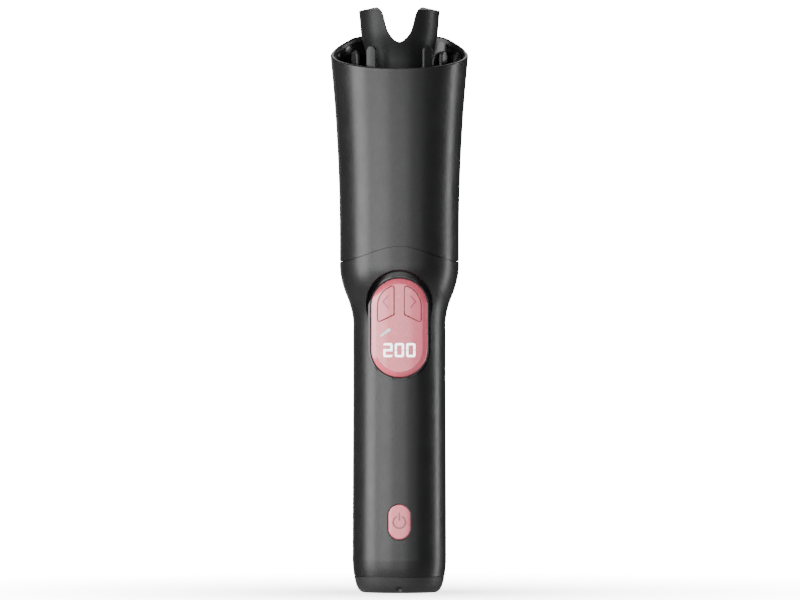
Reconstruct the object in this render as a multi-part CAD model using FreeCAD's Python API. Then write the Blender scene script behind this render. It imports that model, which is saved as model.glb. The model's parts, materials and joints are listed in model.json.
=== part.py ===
import FreeCAD, Part
import math
import os
from FreeCAD import Vector

os.makedirs("parts", exist_ok=True)

# Cordless automatic hair curler, standing on its end cap.
# Millimetres; +Z runs up the handle to the fork, and the control panel faces -Y.

UP = Vector(0, 0, 1)
FRONT = Vector(0, -1, 0)
ORIGIN = Vector(0, 0, 0)
wall_reach = 0.9
far_front = -40
mark_back = -20

# Outer form, as (radius, height) points on smooth stretches.
base_stretch = [(17.8, 0), (19.9, 1.9), (21.3, 5.8), (22.15, 10.5), (22.5, 15.5)]
grip_stretch = [(22.5, 15.5), (22.35, 60), (22.2, 95), (22.2, 125)]
flare_stretch = [(22.2, 125), (22.9, 134.5), (24.3, 139.4), (26.2, 144.3), (27.9, 150.3), (28.6, 158)]
body_top = 180

# Inside of the handle.
bore_radius = 20.4
bore_stretch = [(20.4, 125), (21.1, 135), (23.5, 145), (24.9, 151), (25.2, 156)]
socket_radius = 26.6
socket_floor = 156

# Wavy seam between the handle and the curl chamber's cup.
seam_low = 158.4
seam_rise = 7.2
seam_power = 5
seam_gap = 0.1
seam_groove_width = 0.5
seam_groove_floor = 28.3

# Cup: a parabolic trumpet with a scooped rim.
cup_radius = 28.6
cup_start = 169
cup_end = 285
cup_flare = 0.000581
cup_wall_low = 1.6
cup_wall_high = 2.0
rim_side = 256.3
rim_front_drop = 6.0
rim_front_power = 1.3
rim_back_rise = 6.2
rim_back_crown = 8.7
rim_dip = 9.0
rim_dip_angle = 0.341
rim_rounding = 0.8
rim_lip = 2.2
liner_play = 0.05
liner_wall = 0.6
chamber_floor = 173
spigot_outer = 26.5
spigot_inner = 25.1
ledge_bottom = 166
ledge_top = 168
ledge_inner = 21.0

# End cap, its screws and the charging port.
cap_top = 7.6
cap_gap = 0.3
cap_floor = 2.0
cap_hollow = 18.4
cap_spigot_top = 10.8
cap_spigot_play = 0.1
cap_screw_y = 14.5
cap_screw_head = (2.2, 1.3)
cap_screw_radius = 1.1
cap_screw_length = 14
cap_screw_bottom = 0.3
cap_column_radius = 3.4
cap_column_top = 9.4
cap_recess = (2.4, 1.6)
cap_screw_hole = 1.2
cap_boss_radius = 2.8
cap_boss_top = 17
cap_web_half = 1.0
thumb_dimple_radius = 1.7
port_half_width = 4.47
port_half_depth = 1.63
port_wall = 0.3
port_bottom = 0.9
port_top = 8.3
port_clearance = 0.2
port_tongue_half = (3.3, 0.35)
port_tongue_bottom = 1.6
charge_board_half = (13, 9)
board_thickness = 1.0

# Battery pack: two 18650 cells side by side.
cell_radius = 9.15
cell_length = 65
cell_x = 9.35
cell_bottom = 12.8
holder_plate = 1.4
tab_thickness = 0.2
tab_half_depth = 3
tab_reach = (5, 13)
cell_hole = 2.6
holder_back_y = (9.9, 11.4)
holder_back_half = 12

# Main board behind the power button.
board_half_width = 12.5
board_front = -14.7
board_bottom = 19
board_top = 98

# Chips on the main board: middle x, middle z, width, height and thickness.
chip_sizes = ((-3.5, 56, 7, 7, 1.2), (6, 57, 5, 4, 1.4), (-6, 68, 6, 5, 1.6), (4, 69, 6, 6, 2.2),
              (-5, 78, 4, 3, 1.0), (3, 79, 8, 4, 1.6), (-8, 44, 3, 5, 1.2), (6.5, 45, 4, 6, 1.6))

# Rails that grip the main board's edges.
rail_bottoms = (22, 84)
rail_height = 6
rail_lap = 1.2
rail_width = 2.3

# Power button.
button_middle = 34.1
button_half_width = 5.2
button_half_height = 8.3
button_gap = 0.65
button_face_radius = 22.9
button_flange = 1.3
button_flange_front = -19.15
button_back = -18.45
button_rounding = 0.6
power_switch_half = 3
power_switch_front = -17.2
power_plunger_front = -17.9
power_symbol_radius = 3.3
power_symbol_stroke = 0.75
power_bar_heights = (0.6, 4.4)
engraving = 0.25

# Control panel: an upright pill on the front of the handle.
panel_middle = 126.7
panel_half_width = 13.45
panel_half_height = 23.6
panel_face_radius = 38.0
panel_face_front = -22.9
panel_wall = 1.6
panel_skirt = 1.2
panel_back = -15.0
panel_bevel_depth = 1.5
panel_bevel_width = 2.6
panel_edge_rounding = 0.9
panel_arch = panel_middle + panel_half_height - panel_half_width
bezel_inner = 14.1
bezel_outer = 14.8
bezel_face_radius = 22.8
pocket_half_width = 14.9
frame_wall = 1.35
frame_window = 11.0
frame_back = -14.0
scoop_start = -14.0
scoop_radius = 15.4
scoop_slope = 0.153
scoop_floor = 22.3
scoop_backing = 1.4
scoop_wall = 1.6

# Rocker keys, each hinged along its inner upright edge.
key_inner = 2.6
key_outer = 10.3
key_corner_height = 129.3
key_slant_height = 133.1
key_gap = 0.38
key_back = -20.5
key_rounding = 0.8
key_edge_rounding = 0.35
pivot_x = 3.4
pivot_y = -20.3
pivot_radius = 0.7
pivot_clearance = 0.06
lug_half_width = 4.8
lug_setback = 1.1
lug_heights = ((130.4, 131.9), (147.4, 148.9))
chevron_height = 6.0
chevron_reach = 2.6
chevron_stroke = 0.6
chevron_x = 6.5
chevron_middle = 139.2
key_post = (8.0, 138.0)
key_post_radius = 1.3
key_post_back = -19.9
key_switch_half = 2.2
key_switch_front = -18.6
key_plunger_front = -19.5
display_board_play = 0.3
display_half_width = 9.2
display_front = -20.0
display_heights = (110.5, 121.5)

# Display behind the panel and its lit windows.
inlay_depth = 0.35
digit_width = 4.4
digit_height = 6.7
digit_pitch = 5.45
digit_stroke = 1.05
digit_gap = 0.35
digit_rounding = 1.0
digit_middle = 116.1
lens_tail = (-9.1, 122.7, 0.6)
lens_head = (-4.5, 126.1, 1.5)

# Gear motor.
motor_radius = 12.2
motor_wall = 1.0
motor_bottom = 97.5
motor_top = 126.6
motor_shaft_radius = 1.0
shaft_clearance = 0.04
motor_lid = 1.2
motor_nose = (3.0, 1.2)
motor_screw_x = 6.5
motor_screw_hole = 1.25
motor_screw_head = 2.2
motor_screw_reach = 3.5
bell_thickness = 2.0
terminal_x = 6.8
terminal_half = (1.2, 0.3)
terminal_length = 2.7
magnet_inner = 9.3
magnet_heights = (101, 122)
magnet_gap_half = 3
commutator = (3.2, 99.4, 102.4)
armature_core = (3.0, 102.4, 121)
pole_heights = (103, 120)
pole_half_width = 1.6
shoe_radii = (8.9, 6.2)
shoe_half_width = 6.5

# Two-stage planetary gearbox.
plate_top = 129.0
plate_hole = 3.1
gear_module = 0.5
sun_teeth = 15
planet_teeth = 15
ring_teeth = 45
planets = 3
planet_orbit = gear_module * (sun_teeth + planet_teeth) / 2
pressure_angle = math.radians(20)
tooth_play = 0.06
tooth_addendum = 0.45
tooth_root = 0.62
ring_addendum = 0.3
flank_steps = 4
gearbox_radius = 12.9
ring_top = 149.6
cover_top = 152.0
lug_radius = 2.5
lug_orbit = 15.2
lug_angles = (20, 90, 160)
low_planet_heights = (130.3, 135.2)
low_carrier_heights = (135.5, 137.1)
high_planet_heights = (137.5, 142.5)
high_carrier_heights = (142.9, 145.1)
carrier_radius = 9.9
pin_radius = 0.8
pin_clearance = 0.05
hub_radius = 4.2
hub_top = 147.6
pinion_rise = 0.8
screw_hole = 1.15
gearbox_screw_head = (2.2, 1.6)
gearbox_screw_length = 31.5
cover_boss_depth = 1.6
cover_boss_rise = 2.0
home_magnet_radius = 1.5
home_magnet_depth = 1.4
home_magnet_proud = 0.2
home_magnet_y = 7.4
hall_sensor_half = (2.0, 1.5)

# Bulkhead and the screws that draw the head down onto it.
bulkhead_bottom = 158.5
bulkhead_floor = 162.5
bulkhead_skirt = 23.4
bulkhead_play = 0.1
post_radius = 3.0
post_pilot_top = 159
column_radius = 2.6
head_screw_head = (2.1, 1.5)
head_screw_length = 12.5
head_screw_orbit = 22.8
head_screw_angles = (90, 210, 330)
head_screw_hole = 1.2
pilot_radius = 1.1
pilot_top = 171.5
lead_x = 9
lead_hole = 1.2

# Output shaft and fork.
drive_radius = 2.0
drive_flat = 1.5
drive_top = 261.6
fork_bottom = 244
fork_stretch = [(15.5, 244), (15.6, 254), (16.8, 261), (18.2, 266.5), (18.9, 273), (19.5, 278.6)]
fork_crest = (8, 281.2)
notch_points = [(0, 263.3), (2.9, 264.9), (5.2, 268), (6.7, 272.5), (8.2, 277.6), (12.0, 280.9)]
fork_rounding = 0.45
fork_hollow = (4.6, 12.6, 261.0)
fork_seat = (2.4, 262.2)
fork_screw_head = (2.2, 1.3)
fork_screw_radius = 1.0
fork_screw_length = 7
fork_screw_top = 263.5
shaft_bore_bottom = 253.5

# Barrel and heaters.
barrel_radius = 15.0
barrel_wall = 1.5
barrel_bottom = 168
barrel_top = 243.6
bush_heights = (239, 243.2)
barrel_rounding = 0.6
collar_radius = 20.9
collar_hole = 11.0
spreader_radius = 13.4
spreader_heights = (178, 236)
heater_heights = (183, 231)
heater_half_thickness = 1.25
heater_reach = (3.8, 12.0)
spreader_bore = 3.2
sensor_y = 7.6
sensor_bore = 1.3
sensor_bore_top = 216
sensor_foot = 170
sensor_radii = (1.2, 0.5)
thermistor_heights = (206, 211)
fuse_heights = (200, 210)

# Wires: their radii, where the loom runs down behind the motor, and the share of a run that a bend takes.
heater_wire = 0.7
sensor_wire = 0.5
power_wire = 0.6
sensor_wire_x = 4.5
battery_wire_x = 10
loom_y = 16.5
loom_bottom = 93
bend_share = 0.45

# Guard fingers standing round the barrel.
comb_radius = 26.6
finger_inner = 24.5
finger_outer = 26.3
finger_foot = 3.4
finger_tip = 2.7
finger_rounding = 0.8
finger_places = ((31.8, 261.4), (55.8, 259.0))


def save(name, *shapes):
    """Writes one named piece; several shapes stay separate solids in one file."""
    shape = shapes[0] if len(shapes) == 1 else Part.makeCompound(list(shapes))
    shape.exportStep("parts/" + name + ".step")


def rod(radius, bottom, top, x=0, y=0):
    return Part.makeCylinder(radius, top - bottom, Vector(x, y, bottom))


def tube(outer, inner, bottom, top, x=0, y=0):
    return rod(outer, bottom, top, x, y).cut(rod(inner, bottom, top, x, y))


def peg(radius, back, front, x, z):
    """A round bar along Y, from its back towards the front."""
    return Part.makeCylinder(radius, back - front, Vector(x, back, z), FRONT)


def block(x_pair, y_pair, z_pair):
    corner = Vector(x_pair[0], y_pair[0], z_pair[0])
    size = [pair[1] - pair[0] for pair in (x_pair, y_pair, z_pair)]
    return Part.makeBox(size[0], size[1], size[2], corner)


def mirrored(shape):
    """The same shape on the other side of the centre plane."""
    return shape.mirror(ORIGIN, Vector(1, 0, 0))


def around(shape, degrees):
    copy = shape.copy()
    copy.rotate(ORIGIN, UP, degrees)
    return copy


def stretch(points):
    """A straight line through two points, or a curve that leaves and arrives upright."""
    places = [Vector(radius, 0, height) for radius, height in points]
    if len(places) == 2:
        return Part.makeLine(places[0], places[1])
    spline = Part.BSplineCurve()
    spline.interpolate(Points=places)
    return spline.toShape()


def turned(*stretches):
    """A solid of revolution from joined stretches, closed back to the axis."""
    first = stretches[0][0]
    last = stretches[-1][-1]
    edges = [stretch([(0, first[1]), first])]
    edges += [stretch(points) for points in stretches]
    edges += [stretch([last, (0, last[1])]), stretch([(0, last[1]), (0, first[1])])]
    return Part.Face(Part.Wire(edges)).revolve(ORIGIN, UP, 360)


def trumpet(wall_low, wall_high, bottom):
    """The cup's parabola, moved inwards by a wall that may thicken with height."""
    half = (cup_end - cup_start) / 2
    low = Vector(cup_radius - wall_low, 0, cup_start)
    middle = Vector(cup_radius - (wall_low + wall_high) / 2, 0, cup_start + half)
    high = Vector(cup_radius - wall_high + cup_flare * (2 * half) ** 2, 0, cup_end)
    flare = Part.BezierCurve()
    flare.setPoles([low, middle, high])
    foot = Vector(low.x, 0, bottom)
    edges = [
        Part.makeLine(Vector(0, 0, bottom), foot),
        Part.makeLine(foot, low),
        flare.toShape(),
        Part.makeLine(high, Vector(0, 0, cup_end)),
        Part.makeLine(Vector(0, 0, cup_end), Vector(0, 0, bottom)),
    ]
    return Part.Face(Part.Wire(edges)).revolve(ORIGIN, UP, 360)


def below(height, lift):
    """Everything under a wavy height, given by the angle from the back centre."""
    count = 48
    loops = []
    for radius in (5, 48):
        places = []
        for step in range(count):
            angle = 2 * math.pi * step / count
            places.append(Vector(radius * math.sin(angle), radius * math.cos(angle), height(angle) + lift))
        loop = Part.BSplineCurve()
        loop.interpolate(Points=places, PeriodicFlag=True)
        loops.append(loop.toShape())
    return Part.makeRuledSurface(loops[0], loops[1]).extrude(Vector(0, 0, -cup_end))


def seam(angle):
    return seam_low + seam_rise * abs(math.cos(angle)) ** seam_power


def rim(angle):
    back = math.cos(angle)
    if back < 0:
        return rim_side - rim_front_drop * (1 - (1 + back) ** rim_front_power)
    dip = rim_dip * math.exp(-(math.sin(angle) / rim_dip_angle) ** 4)
    return rim_side + rim_back_rise * back + rim_back_crown * back ** 2 - dip


def prism(points, back, front):
    """A polygon of (x, z) points run along Y from back to front."""
    places = [Vector(x, back, z) for x, z in points]
    return Part.Face(Part.makePolygon(places + places[:1])).extrude(Vector(0, front - back, 0))


def pill(half_width, half_height, middle, back, front):
    """An upright pill in X and Z run along Y from back to front."""
    straight = half_height - half_width
    top = middle + straight
    bottom = middle - straight
    crown = Vector(0, back, middle + half_height)
    foot = Vector(0, back, middle - half_height)
    corners = [Vector(x, back, z) for x, z in (
        (-half_width, bottom), (-half_width, top), (half_width, top), (half_width, bottom))]
    edges = [
        Part.makeLine(corners[0], corners[1]),
        Part.Arc(corners[1], crown, corners[2]).toShape(),
        Part.makeLine(corners[2], corners[3]),
        Part.Arc(corners[3], foot, corners[0]).toShape(),
    ]
    return Part.Face(Part.Wire(edges)).extrude(Vector(0, front - back, 0))


def panel_pill(half_width, back, front):
    """A pill round the control panel's own middle."""
    return pill(half_width, panel_half_height - panel_half_width + half_width, panel_middle, back, front)


def upright(radius):
    """A round bar on the handle's axis, as tall as the handle."""
    return rod(radius, -1, body_top)


def screw(head_radius, head_height, radius, length, base):
    """A pan-head screw pointing up, with a cross recess in its head."""
    recess = 0.6 * head_radius
    slot = 0.2 * head_radius
    depth = 0.5 * head_height
    shape = rod(head_radius, base, base + head_height).fuse(rod(radius, base, base + head_height + length))
    for pair in ((recess, slot), (slot, recess)):
        shape = shape.cut(block((-pair[0], pair[0]), (-pair[1], pair[1]), (base - 1, base + depth)))
    return shape


def moved(shape, x, y, z=0):
    copy = shape.copy()
    copy.translate(Vector(x, y, z))
    return copy


def wire_run(places, radius):
    """A round wire led through places in straight runs joined by tangent arcs."""
    points = [Vector(*place) for place in places]
    edges = []
    start = points[0]
    for before, corner, after in zip(points, points[1:], points[2:]):
        trim = bend_share * min((before - corner).Length, (after - corner).Length)
        back = (before - corner).normalize()
        onward = (after - corner).normalize()
        half_angle = back.getAngle(onward) / 2
        bend = trim * math.tan(half_angle)
        middle = corner + (back + onward).normalize() * (bend / math.sin(half_angle) - bend)
        edges.append(Part.makeLine(start, corner + back * trim))
        edges.append(Part.Arc(corner + back * trim, middle, corner + onward * trim).toShape())
        start = corner + onward * trim
    edges.append(Part.makeLine(start, points[-1]))
    disc = Part.Wire(Part.Circle(points[0], points[1] - points[0], radius).toShape())
    return Part.Wire(edges).makePipeShell([disc], True, False)


def involute(angle):
    return math.tan(angle) - angle


def tooth_outline(teeth, root, tip, play, height):
    """Gear outline with one tooth on +X; play thins each tooth at the pitch circle."""
    pitch = gear_module * teeth / 2
    base = pitch * math.cos(pressure_angle)
    half_tooth = math.pi / (2 * teeth) - play / (2 * pitch)
    places = []
    for tooth in range(teeth):
        centre = 2 * math.pi * tooth / teeth
        flank = []
        for step in range(flank_steps + 1):
            radius = root + (tip - root) * step / flank_steps
            lean = involute(math.acos(base / radius)) if radius > base else 0
            flank.append((radius, half_tooth + involute(pressure_angle) - lean))
        for radius, half in flank:
            places.append((radius, centre - half))
        for radius, half in reversed(flank):
            places.append((radius, centre + half))
    points = [Vector(radius * math.cos(angle), radius * math.sin(angle), height) for radius, angle in places]
    return Part.Face(Part.makePolygon(points + points[:1]))


def outer_gear(teeth, heights, bore):
    pitch = gear_module * teeth / 2
    face = tooth_outline(teeth, pitch - tooth_root, pitch + tooth_addendum, tooth_play, heights[0])
    gear = face.extrude(Vector(0, 0, heights[1] - heights[0]))
    if bore:
        gear = gear.cut(rod(bore, heights[0], heights[1]))
    return gear


# --------------------------------------------------------------------------
# Handle shell and end cap
# --------------------------------------------------------------------------
body = turned(base_stretch, grip_stretch, flare_stretch, [flare_stretch[-1], (cup_radius, body_top)])


def handle_bore(extra):
    """The handle's hollow; extra widens it to reach into the wall."""
    wide = [(radius + extra, height) for radius, height in bore_stretch]
    start = (bore_radius + extra, -1)
    return turned([start, wide[0]], wide)


def scoop(extra, floor_radius):
    """The steep cone that hollows the flare round the panel's arch, down to a round floor."""
    foot = scoop_radius + extra
    reach = scoop_start - far_front
    cone = Part.makeCone(foot, foot + scoop_slope * reach, reach, Vector(0, scoop_start, panel_arch), FRONT)
    return cone.cut(upright(floor_radius))


handle = body.cut(handle_bore(0)).cut(rod(socket_radius, socket_floor, body_top))
wall_core = handle_bore(wall_reach)
frame = panel_pill(pocket_half_width + frame_wall, frame_back, far_front)
handle = handle.fuse(frame.common(wall_core))
handle = handle.fuse(scoop(scoop_backing, scoop_floor - scoop_wall).common(wall_core))
handle = handle.cut(panel_pill(pocket_half_width, panel_back, far_front))
handle = handle.cut(panel_pill(frame_window, 0, far_front))
handle = handle.cut(scoop(0, scoop_floor))
hole_back = -bore_radius / 2
button_hole = pill(button_half_width + button_gap, button_half_height + button_gap,
                   button_middle, hole_back, far_front)
handle = handle.cut(button_hole)

# Grooved rails that hold the main board's edges.
rail_x = (board_half_width - rail_lap, board_half_width + rail_width)
rail_y = (board_front - rail_lap, board_front + board_thickness + rail_lap)
slot_y = (board_front, board_front + board_thickness)
for bottom in rail_bottoms:
    rail = block(rail_x, rail_y, (bottom, bottom + rail_height))
    rail = rail.cut(block((0, board_half_width), slot_y, (bottom, bottom + rail_height)))
    handle = handle.fuse(rail).fuse(mirrored(rail))

# Screw bosses that the end cap is drawn up against.
for side in (-1, 1):
    web_y = sorted((side * cap_screw_y, side * (bore_radius + wall_reach)))
    boss = rod(cap_boss_radius, cap_column_top, cap_boss_top, 0, side * cap_screw_y)
    web_heights = (cap_spigot_top + cap_gap, cap_boss_top)
    boss = boss.fuse(block((-cap_web_half, cap_web_half), web_y, web_heights))
    boss = boss.cut(rod(cap_screw_radius, cap_column_top, cap_boss_top - 1, 0, side * cap_screw_y))
    handle = handle.fuse(boss)

seam_groove = below(seam, seam_groove_width / 2).cut(below(seam, -seam_groove_width / 2))
seam_groove = seam_groove.cut(upright(seam_groove_floor))
handle = handle.common(below(seam, -seam_gap / 2)).cut(seam_groove)
handle = handle.cut(rod(2 * bore_radius, -1, cap_top + cap_gap))
save("handle_shell", handle)

cap = body.common(rod(2 * bore_radius, -1, cap_top)).cut(rod(cap_hollow, cap_floor, cap_top))
cap = cap.fuse(tube(bore_radius - cap_spigot_play, cap_hollow, cap_top - 1, cap_spigot_top))
port_hole = port_half_width + port_clearance, port_half_depth + port_clearance


def lying_pill(half_length, half_width, bottom, top):
    """A flat pill along X, run up Z."""
    straight = half_length - half_width
    middle = block((-straight, straight), (-half_width, half_width), (bottom, top))
    for side in (-1, 1):
        middle = middle.fuse(rod(half_width, bottom, top, side * straight))
    return middle.removeSplitter()


for side in (-1, 1):
    cap = cap.fuse(rod(cap_column_radius, 0, cap_column_top, 0, side * cap_screw_y))
    cap = cap.cut(rod(cap_recess[0], 0, cap_recess[1], 0, side * cap_screw_y))
    cap = cap.cut(rod(cap_screw_hole, 0, cap_column_top, 0, side * cap_screw_y))
cap = cap.cut(lying_pill(port_hole[0], port_hole[1], -1, cap_floor))
dimple = Part.makeSphere(thumb_dimple_radius, Vector(0, -base_stretch[1][0] - 0.6, base_stretch[1][1] - 0.4))
save("end_cap", cap.cut(dimple))
cap_screw = screw(*cap_screw_head, cap_screw_radius, cap_screw_length, cap_screw_bottom)
save("end_cap_screws", *[moved(cap_screw, 0, side * cap_screw_y) for side in (-1, 1)])

port = lying_pill(port_half_width, port_half_depth, port_bottom, port_top)
mouth_half = [half - port_wall for half in (port_half_width, port_half_depth)]
port = port.cut(lying_pill(*mouth_half, port_bottom, port_top - 1))
tongue_x, tongue_y = [(-half, half) for half in port_tongue_half]
port = port.fuse(block(tongue_x, tongue_y, (port_tongue_bottom, port_top)))
save("usb_port", port)

charge_x, charge_y = [(-half, half) for half in charge_board_half]
save("charge_board", block(charge_x, charge_y, (port_top, port_top + board_thickness)))

# --------------------------------------------------------------------------
# Battery pack
# --------------------------------------------------------------------------
cell = turned([(cell_radius, 0), (cell_radius, 61.5)], [(cell_radius, 61.5), (8.8, 62.0)],
              [(8.8, 62.0), (8.8, 62.8)], [(8.8, 62.8), (cell_radius, 63.3)],
              [(cell_radius, 63.3), (cell_radius, 64.3)], [(cell_radius, 64.3), (3, 64.3)],
              [(3, 64.3), (3, cell_length)])
save("battery_cell_left", moved(cell, -cell_x, 0, cell_bottom))
turned_over = cell.copy()
turned_over.rotate(ORIGIN, Vector(1, 0, 0), 180)
save("battery_cell_right", moved(turned_over, cell_x, 0, cell_bottom + cell_length))

cell_top = cell_bottom + cell_length
holder_bottom = cell_bottom - tab_thickness - holder_plate
holder_top = cell_top + tab_thickness + holder_plate
plate_x = (-cell_x - cell_radius, cell_x + cell_radius)
plate_y = (-cell_radius, holder_back_y[1])
holder = block((-holder_back_half, holder_back_half), holder_back_y, (holder_bottom, holder_top))
for bottom in (holder_bottom, holder_top - holder_plate):
    holder = holder.fuse(block(plate_x, plate_y, (bottom, bottom + holder_plate)))
holder = holder.common(upright(bore_radius - cap_spigot_play))
for x in (-cell_x, cell_x):
    holder = holder.cut(rod(cell_hole, holder_bottom, holder_bottom + holder_plate, x))
    holder = holder.cut(rod(cell_hole, cell_top, holder_top, x))
save("battery_holder", holder)

near, far = tab_reach
tabs = []
tab_places = (((-far, far), cell_bottom - tab_thickness), ((-far, -near), cell_top), ((near, far), cell_top))
for x_pair, bottom in tab_places:
    tabs.append(block(x_pair, (-tab_half_depth, tab_half_depth), (bottom, bottom + tab_thickness)))
save("battery_tabs", *tabs)

# --------------------------------------------------------------------------
# Main board and power button
# --------------------------------------------------------------------------
board_back = board_front + board_thickness
board_x = (-board_half_width, board_half_width)
save("main_board", block(board_x, (board_front, board_back), (board_bottom, board_top)))
chips = []
for x, z, wide, tall, high in chip_sizes:
    chip_x = (x - wide / 2, x + wide / 2)
    chip_z = (z - tall / 2, z + tall / 2)
    chips.append(block(chip_x, (board_front - high, board_front), chip_z))
save("main_board_chips", *chips)


def tact_switch(half, body_front, plunger_front, x, z, board):
    switch = block((x - half, x + half), (body_front, board), (z - half, z + half))
    return switch.fuse(peg(half / 2, board, plunger_front, x, z))


power_switch = tact_switch(power_switch_half, power_switch_front, power_plunger_front,
                           0, button_middle, board_front)
save("power_switch", power_switch)

button = pill(button_half_width, button_half_height, button_middle, button_back, far_front)
button = button.common(upright(button_face_radius))
front_edges = [edge for edge in button.Edges if edge.BoundBox.YMax < button_flange_front - 0.5]
button = button.makeFillet(button_rounding, front_edges)
flange_half = button_half_width + button_flange
button = button.fuse(pill(flange_half, button_half_height + button_flange, button_middle,
                          button_back, button_flange_front))
symbol = peg(power_symbol_radius, mark_back, far_front, 0, button_middle)
symbol = symbol.cut(peg(power_symbol_radius - power_symbol_stroke, mark_back, far_front, 0, button_middle))
stroke = power_symbol_stroke / 2
bar_x = (-stroke, stroke)
gap_x = (-3 * stroke, 3 * stroke)
front_y = (far_front, mark_back)
bar_bottom, bar_top = [button_middle + height for height in power_bar_heights]
symbol = symbol.cut(block(gap_x, front_y, (button_middle, bar_top)))
symbol = symbol.fuse(block(bar_x, front_y, (bar_bottom, bar_top)))
button = button.cut(symbol.cut(upright(button_face_radius - engraving)))
save("power_button", button)

# --------------------------------------------------------------------------
# Control panel, bezel, keys and display
# --------------------------------------------------------------------------
bezel = panel_pill(bezel_outer, panel_back, far_front).cut(panel_pill(bezel_inner, 0, far_front - 1))
save("panel_bezel", bezel.common(upright(bezel_face_radius)))


def dome(inset):
    """A wide round bar whose front is the panel's gently curved face; inset moves the face back."""
    return rod(panel_face_radius - inset, 0, body_top, 0, panel_face_front + panel_face_radius)


def upper_edges(shape, front):
    """Edges that lie wholly in front of a depth and run round the shape."""
    return [edge for edge in shape.Edges if edge.BoundBox.YMax < front
            and edge.BoundBox.DiagonalLength > edge.BoundBox.YLength + 0.01]


def runs_outside(edge):
    """True where an edge follows the pill's outermost outline."""
    middle = edge.valueAt((edge.FirstParameter + edge.LastParameter) / 2)
    beyond = max(abs(middle.z - panel_middle) - (panel_half_height - panel_half_width), 0)
    return math.hypot(middle.x, beyond) > panel_half_width - 0.1


def key_outline(grow):
    """The left key's outline in X and Z, following the pill's arch; grow moves its sides out."""
    inner = -key_inner + grow
    arch = key_outer + grow
    shoulder = Vector(inner, 0, panel_arch + math.sqrt(arch ** 2 - inner ** 2))
    corner = Vector(-arch, 0, key_corner_height - grow)
    foot = Vector(inner, 0, key_slant_height - grow)
    hip = Vector(-arch, 0, panel_arch)
    lean = math.radians(135)
    crown = Vector(arch * math.cos(lean), 0, panel_arch + arch * math.sin(lean))
    edges = [
        Part.makeLine(foot, shoulder),
        Part.Arc(shoulder, crown, hip).toShape(),
        Part.makeLine(hip, corner),
        Part.makeLine(corner, foot),
    ]
    return Part.Face(Part.Wire(edges))


def key_block(grow, back):
    face = key_outline(grow)
    face.translate(Vector(0, back, 0))
    key = face.extrude(Vector(0, far_front - back, 0))
    corners = [edge for edge in key.Edges if edge.BoundBox.XLength < 0.01 and edge.BoundBox.ZLength < 0.01
               and edge.BoundBox.YLength > 1 and abs(edge.BoundBox.ZMax - panel_arch) > 0.1]
    return key.makeFillet(key_rounding + grow, corners)


def bar_between(start, end, width):
    """A flat bar in X and Z between two points, as an outline for a prism."""
    along = Vector(end[0] - start[0], 0, end[1] - start[1])
    across = Vector(-along.z, 0, along.x) * (width / 2 / along.Length)
    return [(start[0] + across.x, start[1] + across.z), (end[0] + across.x, end[1] + across.z),
            (end[0] - across.x, end[1] - across.z), (start[0] - across.x, start[1] - across.z)]


panel = panel_pill(panel_half_width, panel_back, far_front).common(dome(0))
panel = panel.makeChamfer(panel_bevel_depth, panel_bevel_width, upper_edges(panel, panel_back - 1))
rim_edges = [edge for edge in upper_edges(panel, panel_back - 1) if runs_outside(edge)]
panel = panel.makeFillet(panel_edge_rounding, rim_edges)
hollow = panel_pill(panel_half_width - panel_skirt, panel_back, far_front)
panel = panel.cut(hollow.common(dome(panel_wall)))
for heights in lug_heights:
    lug = block((-lug_half_width, lug_half_width), (panel_face_front, pivot_y + 1.2), heights)
    panel = panel.fuse(lug.common(dome(lug_setback)))
for side in (-1, 1):
    bearing_hole = pivot_radius + pivot_clearance
    bearing = rod(bearing_hole, lug_heights[0][0], lug_heights[1][1], side * pivot_x, pivot_y)
    panel = panel.cut(bearing)
opening = key_block(key_gap, pivot_y + 5)
panel = panel.cut(opening).cut(mirrored(opening))

key = key_block(0, key_back).common(dome(0))
key = key.makeFillet(key_edge_rounding, upper_edges(key, key_back - 0.5))
pivot = rod(pivot_radius, lug_heights[0][0] + 0.1, lug_heights[1][1] - 0.1, -pivot_x, pivot_y)
key = key.fuse(pivot).fuse(peg(key_post_radius, key_post_back, key_back - 0.3, -key_post[0], key_post[1]))
tip = (-chevron_x - chevron_reach / 2, chevron_middle)
for rise in (-1, 1):
    tail = (tip[0] + chevron_reach, chevron_middle + rise * chevron_height / 2)
    stroke_bar = prism(bar_between(tip, tail, chevron_stroke), key_back - 1, far_front)
    key = key.cut(stroke_bar.cut(dome(engraving)))
save("left_key", key)
save("right_key", mirrored(key))

# Lit windows let into the panel's face: three seven-segment digits and a pointer.
skin = dome(0).cut(dome(inlay_depth))
half_wide = (digit_width - digit_stroke) / 2
half_high = (digit_height - digit_stroke) / 2
half_stroke = digit_stroke / 2
split = (digit_gap + digit_stroke) / 2
segments = {
    "a": ((-half_wide, half_high), (half_wide, half_high)),
    "b": ((half_wide, half_high), (half_wide, split)),
    "c": ((half_wide, -split), (half_wide, -half_high)),
    "d": ((-half_wide, -half_high), (half_wide, -half_high)),
    "e": ((-half_wide, -split), (-half_wide, -half_high)),
    "f": ((-half_wide, half_high), (-half_wide, split)),
    "g": ((-half_wide, 0), (half_wide, 0)),
}


def digit(letters, x):
    """One digit's lit strokes, joined where they meet and rounded at the outer corners."""
    strokes = []
    for letter in letters:
        (left, top), (right, bottom) = segments[letter]
        x_pair = (x + left - half_stroke, x + right + half_stroke)
        low = digit_middle + min(top, bottom) - half_stroke
        high = digit_middle + max(top, bottom) + half_stroke
        strokes.append(block(x_pair, (far_front, mark_back), (low, high)))
    whole = strokes[0]
    for stroke in strokes[1:]:
        whole = whole.fuse(stroke)
    outline = block((x - digit_width / 2, x + digit_width / 2), (far_front, mark_back),
                    (digit_middle - digit_height / 2, digit_middle + digit_height / 2))
    corners = [edge for edge in outline.Edges if edge.BoundBox.YLength > 1]
    outline = outline.makeFillet(digit_rounding, corners)
    return whole.removeSplitter().common(outline).common(skin).Solids


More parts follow.
